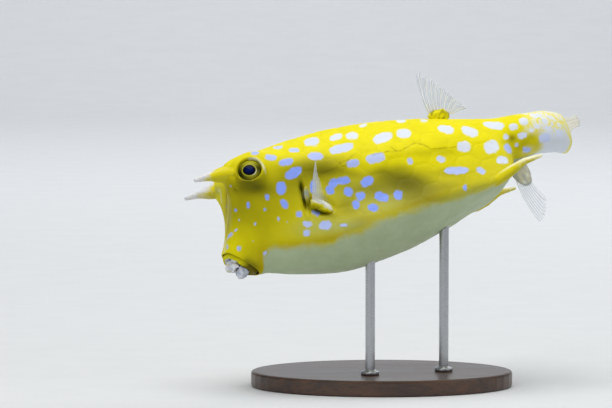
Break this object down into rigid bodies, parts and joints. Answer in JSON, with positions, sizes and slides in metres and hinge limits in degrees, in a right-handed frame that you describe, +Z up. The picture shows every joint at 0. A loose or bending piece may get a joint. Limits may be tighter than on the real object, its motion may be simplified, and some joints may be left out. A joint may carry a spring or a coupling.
{
  "type": "longhorn cowfish display model",
  "caption": "Life-size still model of a box-shaped yellow reef fish with brow and rear horns, banked over an oval base on two upright rods.",
  "frame": {"origin": "middle of the oval base's underside, on the surface that the stand rests on", "axes": "+Z up, -X roughly the way the fish faces and along the base's length, +Y roughly towards the fish's right side"},
  "size_m": [0.2082, 0.1533, 0.1573],
  "materials": {
    "skin": "painted yellow skin with pale blue spots, satin gloss",
    "horn": "cream horn, yellow at the root, satin gloss",
    "eye": "wet gloss, olive iris and black pupil",
    "lip": "pale fleshy lip, satin",
    "fin": "thin clear membrane over white rays",
    "stand_base": "black lacquered wood, satin",
    "stand_rod": "drawn steel rod"
  },
  "bodies": {
    "root": {"head": "skin", "carapace": "skin", "tail_stalk": "skin", "eye_left": "eye", "eye_right": "eye", "lip_upper": "lip", "lip_lower": "lip", "brow_horn_left": "horn", "brow_horn_right": "horn", "rear_horn_left": "horn", "rear_horn_right": "horn", "gill_flap_left": "skin", "gill_flap_right": "skin", "pectoral_fin_left": "fin", "pectoral_fin_right": "fin", "dorsal_fin": "fin", "anal_fin": "fin", "tail_fin": "fin", "stand_base": "stand_base", "stand_rod_front": "stand_rod", "stand_rod_rear": "stand_rod"}
  },
  "joints": []
}
